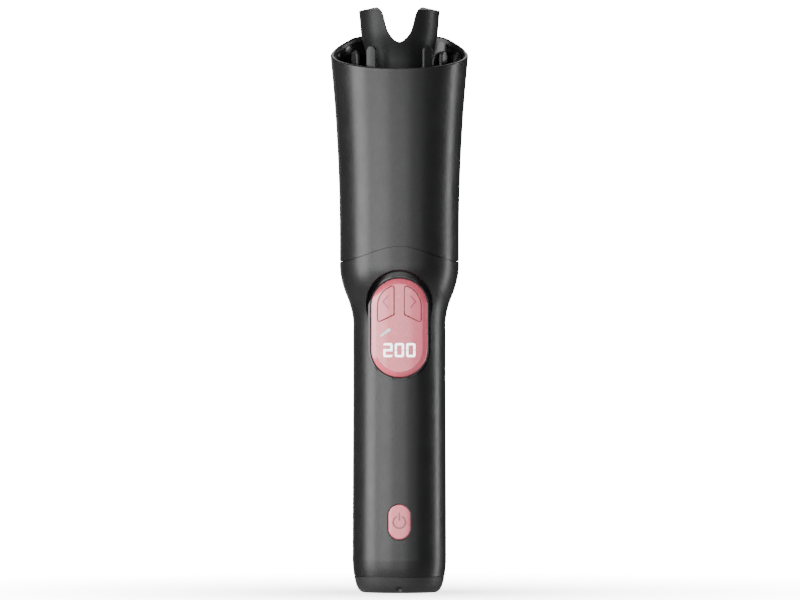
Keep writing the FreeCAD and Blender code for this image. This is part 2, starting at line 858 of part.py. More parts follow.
two_hundred = ("abged", "abcdef", "abcdef")
windows = []
for place, letters in enumerate(two_hundred):
    windows += digit(letters, (place - 1) * digit_pitch)
along = Vector(lens_head[0] - lens_tail[0], 0, lens_head[1] - lens_tail[1]).normalize()
lens_outline = []
for end, side in ((lens_tail, 1), (lens_head, 1), (lens_head, -1), (lens_tail, -1)):
    out = side * end[2] / 2
    lens_outline.append((end[0] - along.z * out, end[1] + along.x * out))
lens = prism(lens_outline, mark_back, far_front).common(skin)
for window in windows + [lens]:
    panel = panel.cut(window)
save("control_panel", panel)
save("display_digits", *windows)
save("indicator_lens", lens)

display_board_front = panel_back - board_thickness
display_board_half = panel_half_width - panel_skirt - display_board_play
save("display_board", panel_pill(display_board_half, panel_back, display_board_front))
module_x = (-display_half_width, display_half_width)
save("display_module", block(module_x, (display_front, display_board_front), display_heights))
key_switch = tact_switch(key_switch_half, key_switch_front, key_plunger_front, key_post[0], key_post[1],
                         display_board_front)
save("key_switches", key_switch, mirrored(key_switch))

# --------------------------------------------------------------------------
# Motor
# --------------------------------------------------------------------------
bearing_radius = motor_shaft_radius + shaft_clearance
can = tube(motor_radius, motor_radius - motor_wall, motor_bottom, motor_top)
can = can.fuse(tube(motor_radius, bearing_radius, motor_top - motor_lid, motor_top))
can = can.fuse(tube(motor_nose[0], bearing_radius, motor_top, motor_top + motor_nose[1]))
for side in (-1, 1):
    can = can.cut(rod(motor_screw_hole, motor_top - motor_lid, motor_top, side * motor_screw_x))
save("motor_can", can)
bell_bottom = motor_bottom - bell_thickness
bell = tube(motor_radius, bearing_radius, bell_bottom, motor_bottom)
bell = bell.fuse(tube(motor_radius - motor_wall, bearing_radius, motor_bottom, motor_bottom + motor_lid))
terminal = block((terminal_x - terminal_half[0], terminal_x + terminal_half[0]),
                 (-terminal_half[1], terminal_half[1]), (bell_bottom - terminal_length, bell_bottom))
save("motor_end_bell", bell.fuse(terminal).fuse(mirrored(terminal)))
gap = block((-magnet_gap_half, magnet_gap_half), (-motor_radius, motor_radius), magnet_heights)
magnets = tube(motor_radius - motor_wall, magnet_inner, *magnet_heights).cut(gap)
save("motor_magnets", *magnets.Solids)

armature = rod(motor_shaft_radius, bell_bottom - 0.6, low_planet_heights[1])
armature = armature.fuse(rod(*commutator)).fuse(rod(*armature_core))
arm = block((2, shoe_radii[1] + 0.3), (-pole_half_width, pole_half_width), pole_heights)
shoe = tube(*shoe_radii, *pole_heights)
shoe = shoe.common(block((0, motor_radius), (-shoe_half_width, shoe_half_width), pole_heights))
for place in range(3):
    armature = armature.fuse(around(arm.fuse(shoe), 120 * place))
save("motor_armature", armature)

# --------------------------------------------------------------------------
# Two-stage planetary gearbox on top of the motor
# --------------------------------------------------------------------------


def with_lugs(disc, heights, hole):
    """Adds the three screw lugs that the gearbox layers share."""
    lugs = []
    for angle in lug_angles:
        lug = rod(lug_radius, heights[0], heights[1], lug_orbit)
        lug = lug.fuse(block((gearbox_radius - 1.4, lug_orbit), (-lug_radius, lug_radius), heights))
        lugs.append(around(lug, angle))
    for lug in lugs:
        disc = disc.fuse(lug)
    for angle in lug_angles:
        disc = disc.cut(around(rod(hole, heights[0], heights[1], lug_orbit), angle))
    return disc


head_bottom = plate_top - motor_lid
plate = with_lugs(tube(gearbox_radius, plate_hole, motor_top, plate_top), (motor_top, plate_top), screw_hole)
for side in (-1, 1):
    plate = plate.cut(rod(motor_screw_hole, motor_top, plate_top, side * motor_screw_x))
    plate = plate.cut(rod(motor_screw_head + 0.1, head_bottom, plate_top, side * motor_screw_x))
save("motor_plate", plate)
motor_screw = rod(motor_screw_head, head_bottom, plate_top - 0.1)
motor_screw = motor_screw.fuse(rod(screw_hole, motor_top - motor_screw_reach, head_bottom))
motor_screw = motor_screw.cut(block((-1.6, 1.6), (-0.25, 0.25), (plate_top - 0.6, plate_top)))
save("motor_screws", *[moved(motor_screw, side * motor_screw_x, 0) for side in (-1, 1)])

ring = with_lugs(rod(gearbox_radius, plate_top, ring_top), (plate_top, ring_top), screw_hole)
ring_pitch = gear_module * ring_teeth / 2
cavity = tooth_outline(ring_teeth, ring_pitch - ring_addendum, ring_pitch + tooth_root,
                       -tooth_play, plate_top)
save("ring_gear", ring.cut(cavity.extrude(Vector(0, 0, ring_top - plate_top))))

pinion_heights = (plate_top + pinion_rise, low_planet_heights[1])
save("motor_pinion", outer_gear(sun_teeth, pinion_heights, motor_shaft_radius))
for stage, heights in (("low", low_planet_heights), ("high", high_planet_heights)):
    planet = moved(outer_gear(planet_teeth, heights, pin_radius + pin_clearance), planet_orbit, 0)
    for place in range(planets):
        save("planet_" + stage + "_" + str(place + 1), around(planet, 360 / planets * place))

low_carrier = rod(carrier_radius, low_carrier_heights[0], low_carrier_heights[1])
low_carrier = low_carrier.fuse(outer_gear(sun_teeth, (low_carrier_heights[1], high_planet_heights[1]), 0))
high_carrier = rod(carrier_radius, high_carrier_heights[0], high_carrier_heights[1])
high_carrier = high_carrier.fuse(rod(hub_radius, high_carrier_heights[1], hub_top))
for place in range(planets):
    for_low = rod(pin_radius, low_planet_heights[0] - 0.2, low_carrier_heights[0], planet_orbit)
    for_high = rod(pin_radius, high_planet_heights[0] - 0.1, high_carrier_heights[0], planet_orbit)
    low_carrier = low_carrier.fuse(around(for_low, 360 / planets * place))
    high_carrier = high_carrier.fuse(around(for_high, 360 / planets * place))
save("carrier_low", low_carrier)


def keyed(radius, bottom, top):
    """A shaft end with one flat on its front."""
    return rod(radius, bottom, top).cut(block((-radius, radius), (-radius, -drive_flat), (bottom, top)))


drive_bottom = high_carrier_heights[0]
carrier_face = high_carrier_heights[1]
magnet_bottom = carrier_face - home_magnet_depth
high_carrier = high_carrier.cut(keyed(drive_radius, drive_bottom, hub_top))
high_carrier = high_carrier.cut(rod(home_magnet_radius, magnet_bottom, carrier_face, 0, home_magnet_y))
save("carrier_high", high_carrier)
magnet_top = carrier_face + home_magnet_proud
save("home_magnet", rod(home_magnet_radius, magnet_bottom, magnet_top, 0, home_magnet_y))

cover = tube(gearbox_radius, drive_radius + shaft_clearance, ring_top, cover_top)
boss_heights = (ring_top - cover_boss_depth, cover_top + cover_boss_rise)
cover = cover.fuse(tube(hub_radius, drive_radius + shaft_clearance, *boss_heights))
save("gearbox_cover", with_lugs(cover, (ring_top, cover_top), screw_hole))
sensor_x = (-hall_sensor_half[0], hall_sensor_half[0])
sensor_span = (home_magnet_y - hall_sensor_half[1], home_magnet_y + hall_sensor_half[1])
save("hall_sensor", block(sensor_x, sensor_span, (ring_top - cover_boss_depth, ring_top)))
long_screw_bottom = motor_top - gearbox_screw_head[1]
long_screw = screw(*gearbox_screw_head, pilot_radius, gearbox_screw_length, long_screw_bottom)
save("gearbox_screws", *[around(moved(long_screw, lug_orbit, 0), angle) for angle in lug_angles])

# --------------------------------------------------------------------------
# Bulkhead between the handle and the curl chamber
# --------------------------------------------------------------------------
socket_fit = spigot_inner - bulkhead_play
bulkhead = rod(socket_fit, bulkhead_floor, ledge_bottom)
bulkhead = bulkhead.fuse(tube(socket_fit, bulkhead_skirt, bulkhead_bottom, bulkhead_floor))
for angle in lug_angles:
    post = rod(post_radius, cover_top, bulkhead_floor, lug_orbit)
    bulkhead = bulkhead.fuse(around(post.cut(rod(pilot_radius, cover_top, post_pilot_top, lug_orbit)), angle))
for angle in head_screw_angles:
    column = rod(column_radius, bulkhead_bottom, bulkhead_floor, head_screw_orbit)
    bulkhead = bulkhead.fuse(around(column.common(upright(socket_fit)), angle))
    screw_way = rod(head_screw_hole, bulkhead_bottom, ledge_bottom, head_screw_orbit)
    bulkhead = bulkhead.cut(around(screw_way, angle))
bulkhead = bulkhead.cut(rod(drive_radius + 0.5, bulkhead_bottom, ledge_bottom))
for x, y in ((lead_x, 0), (-lead_x, 0), (0, -sensor_y), (0, sensor_y)):
    bulkhead = bulkhead.cut(rod(lead_hole, bulkhead_bottom, ledge_bottom, x, y))
save("bulkhead", bulkhead)
head_screw = screw(*head_screw_head, pilot_radius, head_screw_length, bulkhead_bottom - head_screw_head[1])
save("head_screws", *[around(moved(head_screw, head_screw_orbit, 0), angle) for angle in head_screw_angles])

# --------------------------------------------------------------------------
# Cup, liner and guard fingers
# --------------------------------------------------------------------------
cup = trumpet(0, 0, socket_floor + 1)
cup = cup.cut(trumpet(cup_wall_low, cup_wall_high, ledge_top))
cup = cup.cut(rod(spigot_outer - seam_groove_width, 0, ledge_top))
cup = cup.common(below(rim, 0)).cut(below(seam, seam_gap / 2)).cut(seam_groove)
lips = [edge for edge in cup.Edges
        if edge.BoundBox.ZMin > rim_side - 2 * rim_front_drop and edge.Length > cup_radius]
cup = cup.makeFillet(rim_rounding, lips)
cup = cup.fuse(tube(spigot_outer, spigot_inner, socket_floor, ledge_top))
cup = cup.fuse(tube(spigot_outer, ledge_inner, ledge_bottom, ledge_top))
for angle in head_screw_angles:
    cup = cup.cut(around(rod(head_screw_hole, ledge_bottom, ledge_top, head_screw_orbit), angle))
save("head_shell", cup)

liner_back = [wall + liner_play for wall in (cup_wall_low, cup_wall_high)]
liner_face = [wall + liner_wall for wall in liner_back]
liner = trumpet(*liner_back, ledge_top).cut(trumpet(*liner_face, ledge_top))
liner = liner.cut(rod(2 * cup_radius, 0, chamber_floor)).common(below(rim, -rim_lip))
save("head_liner", liner)

comb = tube(comb_radius, ledge_inner, ledge_top, chamber_floor)


def finger(angle, top):
    """A tapered tongue with a round tip, standing on the ring at an angle from the front."""
    shoulder = top - finger_tip
    foot_height = ledge_top + 1
    left = Vector(-finger_tip, 0, shoulder)
    right = Vector(finger_tip, 0, shoulder)
    edges = [
        Part.makeLine(Vector(-finger_foot, 0, foot_height), left),
        Part.Arc(left, Vector(0, 0, top), right).toShape(),
        Part.makeLine(right, Vector(finger_foot, 0, foot_height)),
        Part.makeLine(Vector(finger_foot, 0, foot_height), Vector(-finger_foot, 0, foot_height)),
    ]
    blade = Part.Face(Part.Wire(edges)).extrude(Vector(0, far_front, 0))
    blade = blade.common(tube(finger_outer, finger_inner, ledge_top, cup_end))
    soft = [edge for edge in blade.Edges if edge.BoundBox.ZMin > foot_height - 0.1
            and edge.BoundBox.ZLength > 1 and edge.BoundBox.DiagonalLength > finger_tip]
    return around(blade.makeFillet(finger_rounding, soft), angle)


for angle, top in finger_places:
    for turn in (angle, -angle, 180 - angle, 180 + angle):
        comb = comb.fuse(finger(turn, top))
for angle in head_screw_angles:
    comb = comb.cut(around(rod(pilot_radius, ledge_top, pilot_top, head_screw_orbit), angle))
save("comb_ring", comb)

# --------------------------------------------------------------------------
# Heated barrel
# --------------------------------------------------------------------------
collar = tube(collar_radius, barrel_radius + shaft_clearance / 2, barrel_bottom, chamber_floor)
collar = collar.fuse(tube(collar_radius, collar_hole, ledge_bottom, barrel_bottom))
save("barrel_collar", collar)
barrel = tube(barrel_radius, barrel_radius - barrel_wall, barrel_bottom, barrel_top)
mouth = [edge for edge in barrel.Edges
         if edge.BoundBox.ZMin > barrel_top - 0.1 and edge.BoundBox.XMax > barrel_radius - 1]
save("barrel", barrel.makeFillet(barrel_rounding, mouth))
bush = tube(barrel_radius - barrel_wall, drive_radius + shaft_clearance, *bush_heights)
save("barrel_top_bush", bush)

low, high = spreader_heights
half_round = rod(spreader_radius, low, high).cut(rod(spreader_bore, low, high))
behind_x = (-spreader_radius, spreader_radius)
behind = block(behind_x, (-heater_half_thickness, spreader_radius), spreader_heights)
half_round = half_round.cut(behind).cut(rod(sensor_bore, low, sensor_bore_top, 0, -sensor_y))
save("heat_spreaders", half_round, half_round.mirror(ORIGIN, Vector(0, 1, 0)))
heater = block(heater_reach, (-heater_half_thickness, heater_half_thickness), heater_heights)
save("heater_plates", heater, mirrored(heater))

# --------------------------------------------------------------------------
# Output shaft and fork
# --------------------------------------------------------------------------
shaft = keyed(drive_radius, drive_bottom, hub_top).fuse(rod(drive_radius, hub_top, fork_bottom))
shaft = shaft.fuse(keyed(drive_radius, fork_bottom, drive_top))
save("drive_shaft", shaft.cut(rod(fork_screw_radius, shaft_bore_bottom, drive_top)))

fork = turned(fork_stretch, [fork_stretch[-1], fork_crest])
left_side = [(-x, z) for x, z in reversed(notch_points[1:])]
notch_back = barrel_radius + 10
notch_curve = Part.BSplineCurve()
notch_curve.interpolate(Points=[Vector(x, notch_back, z) for x, z in left_side + notch_points])
open_ends = [Vector(side * notch_points[-1][0], notch_back, notch_points[-1][1]) for side in (-1, 1)]
lid = [Vector(end.x, notch_back, fork_crest[1] + 5) for end in open_ends]
notch_wire = Part.Wire([notch_curve.toShape(), Part.makeLine(open_ends[1], lid[1]),
                        Part.makeLine(lid[1], lid[0]), Part.makeLine(lid[0], open_ends[0])])
fork = fork.cut(Part.Face(notch_wire).extrude(Vector(0, -2 * notch_back, 0)))
soft = [edge for edge in fork.Edges if edge.BoundBox.ZMax > fork_bottom + 3.5 and edge.Length > 2]
fork = fork.makeFillet(fork_rounding, soft)
inner, outer, depth = fork_hollow
fork = fork.cut(tube(outer, inner, fork_bottom, depth))
fork = fork.cut(keyed(drive_radius, fork_bottom, drive_top))
fork = fork.cut(rod(pilot_radius, drive_top, fork_crest[1])).cut(rod(*fork_seat, fork_crest[1]))
save("fork_head", fork)
fork_screw = screw(*fork_screw_head, fork_screw_radius, fork_screw_length, 0)
fork_screw.rotate(ORIGIN, Vector(1, 0, 0), 180)
save("fork_screw", moved(fork_screw, 0, 0, fork_screw_top))

# --------------------------------------------------------------------------
# Sensors and wiring
# --------------------------------------------------------------------------
bead, lead = sensor_radii
thermistor = rod(bead, *thermistor_heights, 0, -sensor_y)
thermal_fuse = rod(bead, *fuse_heights, 0, sensor_y)
save("thermistor", thermistor.fuse(rod(lead, sensor_foot, thermistor_heights[0], 0, -sensor_y)))
save("thermal_fuse", thermal_fuse.fuse(rod(lead, sensor_foot, fuse_heights[0], 0, sensor_y)))

heater_leads = []
sensor_leads = []
power_leads = []
for side in (-1, 1):
    x = side * lead_x
    heater_leads.append(wire_run([(x, 0, heater_heights[0]), (x, 0, 156.5), (x, loom_y - 1, 154.5),
                                  (x, loom_y - 0.5, loom_bottom), (x, loom_y - 8, 88),
                                  (x, board_back, 88)], heater_wire))
    x = side * sensor_wire_x
    start_y = side * sensor_y
    sensor_leads.append(wire_run([(0, start_y, sensor_foot), (0, start_y, 158.5), (x, start_y / 2 + 2, 156.2),
                                  (x, loom_y, 154.8), (x, loom_y + 0.8, loom_bottom), (x, loom_y - 8, 86.5),
                                  (x, board_back, 86.5)], sensor_wire))
    x = side * terminal_x
    power_leads.append(wire_run([(x, -0.9, motor_bottom - 4), (x, -5, 92), (x, board_back, 92)], power_wire))
    x = side * battery_wire_x
    battery_run = [(x, 0, cell_top + tab_thickness), (x, 0, 82.5), (x, board_back, 82.5)]
    power_leads.append(wire_run(battery_run, power_wire))
save("heater_leads", *heater_leads)
save("sensor_leads", *sensor_leads)
save("power_leads", *power_leads)
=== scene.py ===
import json
import math

import bpy
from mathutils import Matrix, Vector


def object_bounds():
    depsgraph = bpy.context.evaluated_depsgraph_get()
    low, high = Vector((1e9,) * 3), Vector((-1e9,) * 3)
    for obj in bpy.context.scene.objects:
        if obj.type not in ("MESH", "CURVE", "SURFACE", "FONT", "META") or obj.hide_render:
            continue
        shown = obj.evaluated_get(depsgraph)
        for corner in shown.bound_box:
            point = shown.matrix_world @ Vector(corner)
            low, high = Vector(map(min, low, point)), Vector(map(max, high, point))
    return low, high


# The hair curler stands on a pale table, seen level from the front through a long lens.
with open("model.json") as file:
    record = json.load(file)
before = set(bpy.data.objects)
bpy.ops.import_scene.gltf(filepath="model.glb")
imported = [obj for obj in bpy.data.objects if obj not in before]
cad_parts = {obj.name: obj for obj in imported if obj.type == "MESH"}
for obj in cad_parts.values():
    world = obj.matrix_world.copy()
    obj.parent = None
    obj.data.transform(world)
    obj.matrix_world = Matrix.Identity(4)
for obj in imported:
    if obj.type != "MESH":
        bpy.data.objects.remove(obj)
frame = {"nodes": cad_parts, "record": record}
cad_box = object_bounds()
nodes = frame["nodes"]

# Most of a noise pattern's values lie between these two.
pattern_low = 0.3
pattern_high = 0.7

# An engraving's floor lies between these two depths under its face.
mark_margin = 0.00008
mark_depth = 0.0005

# ---- Shader building blocks ------------------------------------------------


def new_material(name):
    """A node material with its Principled shader, and the coordinates of its object."""
    material = bpy.data.materials.new(name)
    material.use_nodes = True
    tree = material.node_tree
    shader = tree.nodes["Principled BSDF"]
    place = tree.nodes.new("ShaderNodeTexCoord")
    return material, tree, shader, place.outputs["Object"]


def noise(tree, place, scale, detail=3.0, rough=0.55, stretch=None):
    """A noise pattern, in features per metre; stretch scales its axes."""
    if stretch:
        mapping = tree.nodes.new("ShaderNodeMapping")
        mapping.inputs["Scale"].default_value = stretch
        tree.links.new(place, mapping.inputs["Vector"])
        place = mapping.outputs["Vector"]
    node = tree.nodes.new("ShaderNodeTexNoise")
    node.inputs["Scale"].default_value = scale
    node.inputs["Detail"].default_value = detail
    node.inputs["Roughness"].default_value = rough
    tree.links.new(place, node.inputs["Vector"])
    return node.outputs["Fac"]


def spread(tree, value, low, high, start=pattern_low, end=pattern_high):
    """Turns a value that runs from start to end into a number from low to high."""
    node = tree.nodes.new("ShaderNodeMapRange")
    node.inputs["From Min"].default_value = start
    node.inputs["From Max"].default_value = end
    node.inputs["To Min"].default_value = low
    node.inputs["To Max"].default_value = high
    tree.links.new(value, node.inputs["Value"])
    return node.outputs["Result"]


def two_tone(tree, value, dark, light):
    """Turns a pattern into a colour between two close shades."""
    ramp = tree.nodes.new("ShaderNodeValToRGB")
    ramp.color_ramp.elements[0].position = pattern_low
    ramp.color_ramp.elements[0].color = (*dark, 1)
    ramp.color_ramp.elements[1].position = pattern_high
    ramp.color_ramp.elements[1].color = (*light, 1)
    tree.links.new(value, ramp.inputs["Fac"])
    return ramp.outputs["Color"]


def emboss(tree, shader, height, strength, depth):
    """Gives the surface a fine relief, depth in metres."""
    bump = tree.nodes.new("ShaderNodeBump")
    bump.inputs["Strength"].default_value = strength
    bump.inputs["Distance"].default_value = depth
    tree.links.new(height, bump.inputs["Height"])
    tree.links.new(bump.outputs["Normal"], shader.inputs["Normal"])


def set_values(shader, **values):
    """Sets constant values on the shader's own sockets."""
    for name, value in values.items():
        shader.inputs[name.replace("_", " ")].default_value = value


def shade(colour, factor):
    """A darker or lighter version of a colour."""
    return tuple(channel * factor for channel in colour)


def moulded(name, colour, rough, grain=0.00001, grain_scale=2600, variety=0.12,
            coat=0.0, coat_rough=0.1, coat_ior=1.5, specular=0.5):
    """Moulded plastic: a spark-eroded grain, faint flow marks and uneven gloss."""
    material, tree, shader, place = new_material(name)
    flow = noise(tree, place, 45, 4, 0.6, (1, 1, 0.35))
    fine = noise(tree, place, grain_scale, 2)
    colours = two_tone(tree, flow, shade(colour, 1 - variety), shade(colour, 1 + variety))
    tree.links.new(colours, shader.inputs["Base Color"])
    smudge = noise(tree, place, 90, 5, 0.62)
    tree.links.new(spread(tree, smudge, rough - 0.03, rough + 0.04), shader.inputs["Roughness"])
    emboss(tree, shader, fine, 0.35, grain)
    set_values(shader, Coat_Weight=coat, Coat_Roughness=coat_rough, Coat_IOR=coat_ior)
    set_values(shader, Specular_IOR_Level=specular)
    return material


def math_node(tree, operation, *values):
    """A Math node fed by sockets and plain numbers."""
    node = tree.nodes.new("ShaderNodeMath")
    node.operation = operation
    for index, value in enumerate(values):
        if isinstance(value, bpy.types.NodeSocket):
            tree.links.new(value, node.inputs[index])
        else:
            node.inputs[index].default_value = value
    return node.outputs["Value"]


def inside(tree, value, low, high):
    """1 where a number lies between low and high, and 0 elsewhere."""
    return math_node(tree, "COMPARE", value, (low + high) / 2, (high - low) / 2)


def coordinates(tree, place):
    """The X, Y and Z of a place, as sockets by name."""
    parts = tree.nodes.new("ShaderNodeSeparateXYZ")
    tree.links.new(place, parts.inputs["Vector"])
    return parts.outputs


def axis_distance(tree, place, axis_y):
    """The distance of a point from an upright axis in the curler's centre plane."""
    flat = tree.nodes.new("ShaderNodeVectorMath")
    flat.operation = "MULTIPLY_ADD"
    flat.inputs[1].default_value = (1, 1, 0)
    flat.inputs[2].default_value = (0, -axis_y, 0)
    tree.links.new(place, flat.inputs[0])
    radius = tree.nodes.new("ShaderNodeVectorMath")
    radius.operation = "LENGTH"
    tree.links.new(flat.outputs["Vector"], radius.inputs[0])
    return radius.outputs["Value"]


def paint_where(material, tests, paint):
    """Paints the places that pass every test, and returns their mask."""
    tree = material.node_tree
    shader = tree.nodes["Principled BSDF"]
    mask = tests[0]
    for test in tests[1:]:
        mask = math_node(tree, "MULTIPLY", mask, test)
    mix = tree.nodes.new("ShaderNodeMix")
    mix.data_type = "RGBA"
    before, after = mix.inputs[6], mix.inputs[7]
    after.default_value = (*paint, 1)
    tree.links.new(shader.inputs["Base Color"].links[0].from_socket, before)
    tree.links.new(mask, mix.inputs[0])
    tree.links.new(mix.outputs[2], shader.inputs["Base Color"])
    return mask


def thin_lacquer(material, mask, share):
    """Leaves only a share of the lacquer where the mask is 1."""
    tree = material.node_tree
    shader = tree.nodes["Principled BSDF"]
    tree.links.new(spread(tree, mask, 1.0, share, 0, 1), shader.inputs["Coat Weight"])


def engraving_paint_and_shade(material, face_radius, axis_y, x_limits, z_limits, paint):
    """Colours the marks engraved just under a round face, inside a window in X and Z, with the given colour:
    a paint fill for the power symbol, painted shade in the grooves for the chevrons. Returns their mask.
    """
    tree = material.node_tree
    place = tree.nodes["Texture Coordinate"].outputs["Object"]
    parts = coordinates(tree, place)
    distance = axis_distance(tree, place, axis_y)
    tests = [
        inside(tree, distance, face_radius - mark_depth, face_radius - mark_margin),
        inside(tree, math_node(tree, "ABSOLUTE", parts["X"]), *x_limits),
        inside(tree, parts["Z"], *z_limits),
    ]
    return paint_where(material, tests, paint)


def metal(name, colour, rough, stretch=(1, 1, 14), scale=700, variety=0.1, relief=0.000006):
    """Drawn or turned metal with fine tool marks along one direction."""
    material, tree, shader, place = new_material(name)
    marks = noise(tree, place, scale, 4, 0.7, stretch)
    tarnish = noise(tree, place, 60, 4)
    tree.links.new(two_tone(tree, tarnish, shade(colour, 1 - variety), colour), shader.inputs["Base Color"])
    tree.links.new(spread(tree, marks, rough - 0.08, rough + 0.1), shader.inputs["Roughness"])
    emboss(tree, shader, marks, 0.3, relief)
    set_values(shader, Metallic=1.0)
    return material


def lit(name, colour, strength):
    """A window lit from behind, slightly uneven like a diffusing film."""
    material, tree, shader, place = new_material(name)
    film = noise(tree, place, 900, 2)
    tree.links.new(two_tone(tree, film, shade(colour, 0.93), colour), shader.inputs["Base Color"])
    tree.links.new(spread(tree, film, 0.22, 0.34), shader.inputs["Roughness"])
    set_values(shader, Emission_Color=(*colour, 1), Emission_Strength=strength)
    return material


def sleeve(name, colour, rough=0.5):
    """Soft silicone wire sleeve with a dusty bloom."""
    material, tree, shader, place = new_material(name)
    bloom = noise(tree, place, 220, 4)
    tree.links.new(two_tone(tree, bloom, shade(colour, 0.8), colour), shader.inputs["Base Color"])
    tree.links.new(spread(tree, bloom, rough - 0.06, rough + 0.1), shader.inputs["Roughness"])
    emboss(tree, shader, bloom, 0.2, 0.00002)
    set_values(shader, Sheen_Weight=0.15, Sheen_Roughness=0.5)
    return material


def circuit_board(name, colour):
    """Green solder mask over copper tracks."""
    material, tree, shader, place = new_material(name)
    tracks = tree.nodes.new("ShaderNodeTexBrick")
    tracks.inputs["Scale"].default_value = 160
    tracks.inputs["Mortar Size"].default_value = 0.06
    tracks.inputs["Color1"].default_value = (*colour, 1)
    tracks.inputs["Color2"].default_value = (*shade(colour, 0.85), 1)
    tracks.inputs["Mortar"].default_value = (*shade(colour, 1.7), 1)
    turn = tree.nodes.new("ShaderNodeMapping")
    turn.inputs["Rotation"].default_value = (math.pi / 2, 0, 0)
    tree.links.new(place, turn.inputs["Vector"])
    tree.links.new(turn.outputs["Vector"], tracks.inputs["Vector"])
    tree.links.new(tracks.outputs["Color"], shader.inputs["Base Color"])
    emboss(tree, shader, tracks.outputs["Fac"], 0.4, 0.00003)
    set_values(shader, Roughness=0.32, Coat_Weight=0.4, Coat_Roughness=0.12)
    return material


# ---- Materials, by the record's slots ---------------------------------------

rose = (0.82, 0.130, 0.190)
rose_paint = (0.22, 0.025, 0.03)
# Painted shade for the button's skirt, down in the gap round the button.
skirt_painted_shade = (0.004, 0.004, 0.004)


def rose_moulding(name):
    """The pink plastic of the panel, keys and power button, under a clear lacquer."""
    return moulded(name, rose, 0.26, 0.000004, 1500, 0.04, 1.0, 0.15, coat_ior=1.6)


materials = {
    "black_shell": moulded("black_shell", (0.0095, 0.0095, 0.0100), 0.32, 0.000012, 2400),
    "cap_black": moulded("cap_black", (0.0200, 0.0200, 0.0210), 0.46, 0.000016, 1900),
    "rose_plastic": rose_moulding("rose_plastic"),
    "button_rose": rose_moulding("button_rose"),
    "key_rose": rose_moulding("key_rose"),
    "bezel_black": moulded("bezel_black", (0.006, 0.006, 0.0065), 0.16, 0.000004, 2000),
    "smoked_guard": moulded("smoked_guard", (0.014, 0.014, 0.015), 0.24, 0.000005, 1600, 0.1, specular=0.24),
    "liner_black": moulded("liner_black", (0.0025, 0.0025, 0.0027), 0.13, 0.000003, 1600, specular=0.34),
    "fork_black": moulded("fork_black", (0.0110, 0.0110, 0.0115), 0.38, 0.00001, 2200, specular=0.24),
    "barrel_coating": moulded("barrel_coating", (0.020, 0.020, 0.022), 0.30, 0.00002, 1200, 0.2, 0.4, 0.2),
    "digit_white": lit("digit_white", (0.98, 0.98, 1.0), 3.0),
    "lens_cyan": lit("lens_cyan", (0.62, 0.78, 0.80), 0.45),
    "steel": metal("steel", (0.56, 0.56, 0.58), 0.28),
    "nickel": metal("nickel", (0.66, 0.65, 0.62), 0.24),
    "aluminium": metal("aluminium", (0.72, 0.72, 0.74), 0.34, (1, 1, 0.05), 900),
    "board_green": circuit_board("board_green", (0.012, 0.090, 0.040)),
    "chip_black": moulded("chip_black", (0.018, 0.018, 0.018), 0.5, 0.00002, 1500),
    "switch_grey": moulded("switch_grey", (0.12, 0.12, 0.13), 0.5, 0.00001, 1800),
    "cell_wrap": moulded("cell_wrap", (0.030, 0.150, 0.300), 0.24, 0.00001, 800, 0.1, 0.5, 0.1),
    "holder_black": moulded("holder_black", (0.028, 0.028, 0.030), 0.5, 0.000016, 1700),
    "ivory_gear": moulded("ivory_gear", (0.70, 0.67, 0.58), 0.42, 0.00001, 1200, 0.06),
    "brass": metal("brass", (0.78, 0.56, 0.25), 0.26, (14, 14, 1), 500),
    "magnet_grey": moulded("magnet_grey", (0.08, 0.08, 0.085), 0.6, 0.00004, 900, 0.25),
    "high_heat": moulded("high_heat", (0.16, 0.15, 0.13), 0.55, 0.00003, 1100, 0.2),
    "ceramic_white": moulded("ceramic_white", (0.78, 0.77, 0.73), 0.5, 0.00002, 1500, 0.05),
    "red_wire": sleeve("red_wire", (0.45, 0.02, 0.018)),
    "white_wire": sleeve("white_wire", (0.66, 0.66, 0.63)),
    "sensor_glass": moulded("sensor_glass", (0.45, 0.30, 0.14), 0.14, 0.000004, 900, 0.15, 1.0, 0.03),
}

# The power symbol is an engraving filled with paint; the keys' chevrons are engravings darkened with painted
# shade in their grooves.
button_face_radius = 0.0229
key_face_radius = 0.0380
key_face_axis = 0.0151
symbol_window = ((0, 0.0045), (0.0290, 0.0390))
chevron_window = ((0.0045, 0.0085), (0.1355, 0.1430))
engraving_paint_and_shade(materials["button_rose"], button_face_radius, 0, *symbol_window, rose_paint)
# Painted shade: the chevron grooves get a darker rose where shade would fall in them.
chevron_painted_shade = engraving_paint_and_shade(
    materials["key_rose"], key_face_radius, key_face_axis, *chevron_window, shade(rose, 0.6))
thin_lacquer(materials["key_rose"], chevron_painted_shade, 0.3)

# The button's skirt, seen down the gap round it, is painted black as painted shade in that gap, and has no
# lacquer.
skirt_front = -0.0194
button_tree = materials["button_rose"].node_tree
button_place = coordinates(button_tree, button_tree.nodes["Texture Coordinate"].outputs["Object"])
skirt = inside(button_tree, button_place["Y"], skirt_front, 0)
paint_where(materials["button_rose"], [skirt], skirt_painted_shade)
thin_lacquer(materials["button_rose"], skirt, 0)

slot_of = {entry["node"]: entry["material_slot"] for entry in frame["record"]["subparts"]}
slot_of.update(power_button="button_rose", left_key="key_rose", right_key="key_rose")
for name, piece in nodes.items():
    piece.data.materials.clear()
    piece.data.materials.append(materials[slot_of[name]])

# ---- Table, light and camera ----------------------------------------------


def seen_and_bounced(tree, seen, bounced):
    """Mixes what the camera sees directly with what lights the curler."""
    path = tree.nodes.new("ShaderNodeLightPath")
    mix = tree.nodes.new("ShaderNodeMixShader")
    tree.links.new(path.outputs["Is Camera Ray"], mix.inputs["Fac"])
    tree.links.new(bounced, mix.inputs[1])
    tree.links.new(seen, mix.inputs[2])
    return mix.outputs["Shader"]


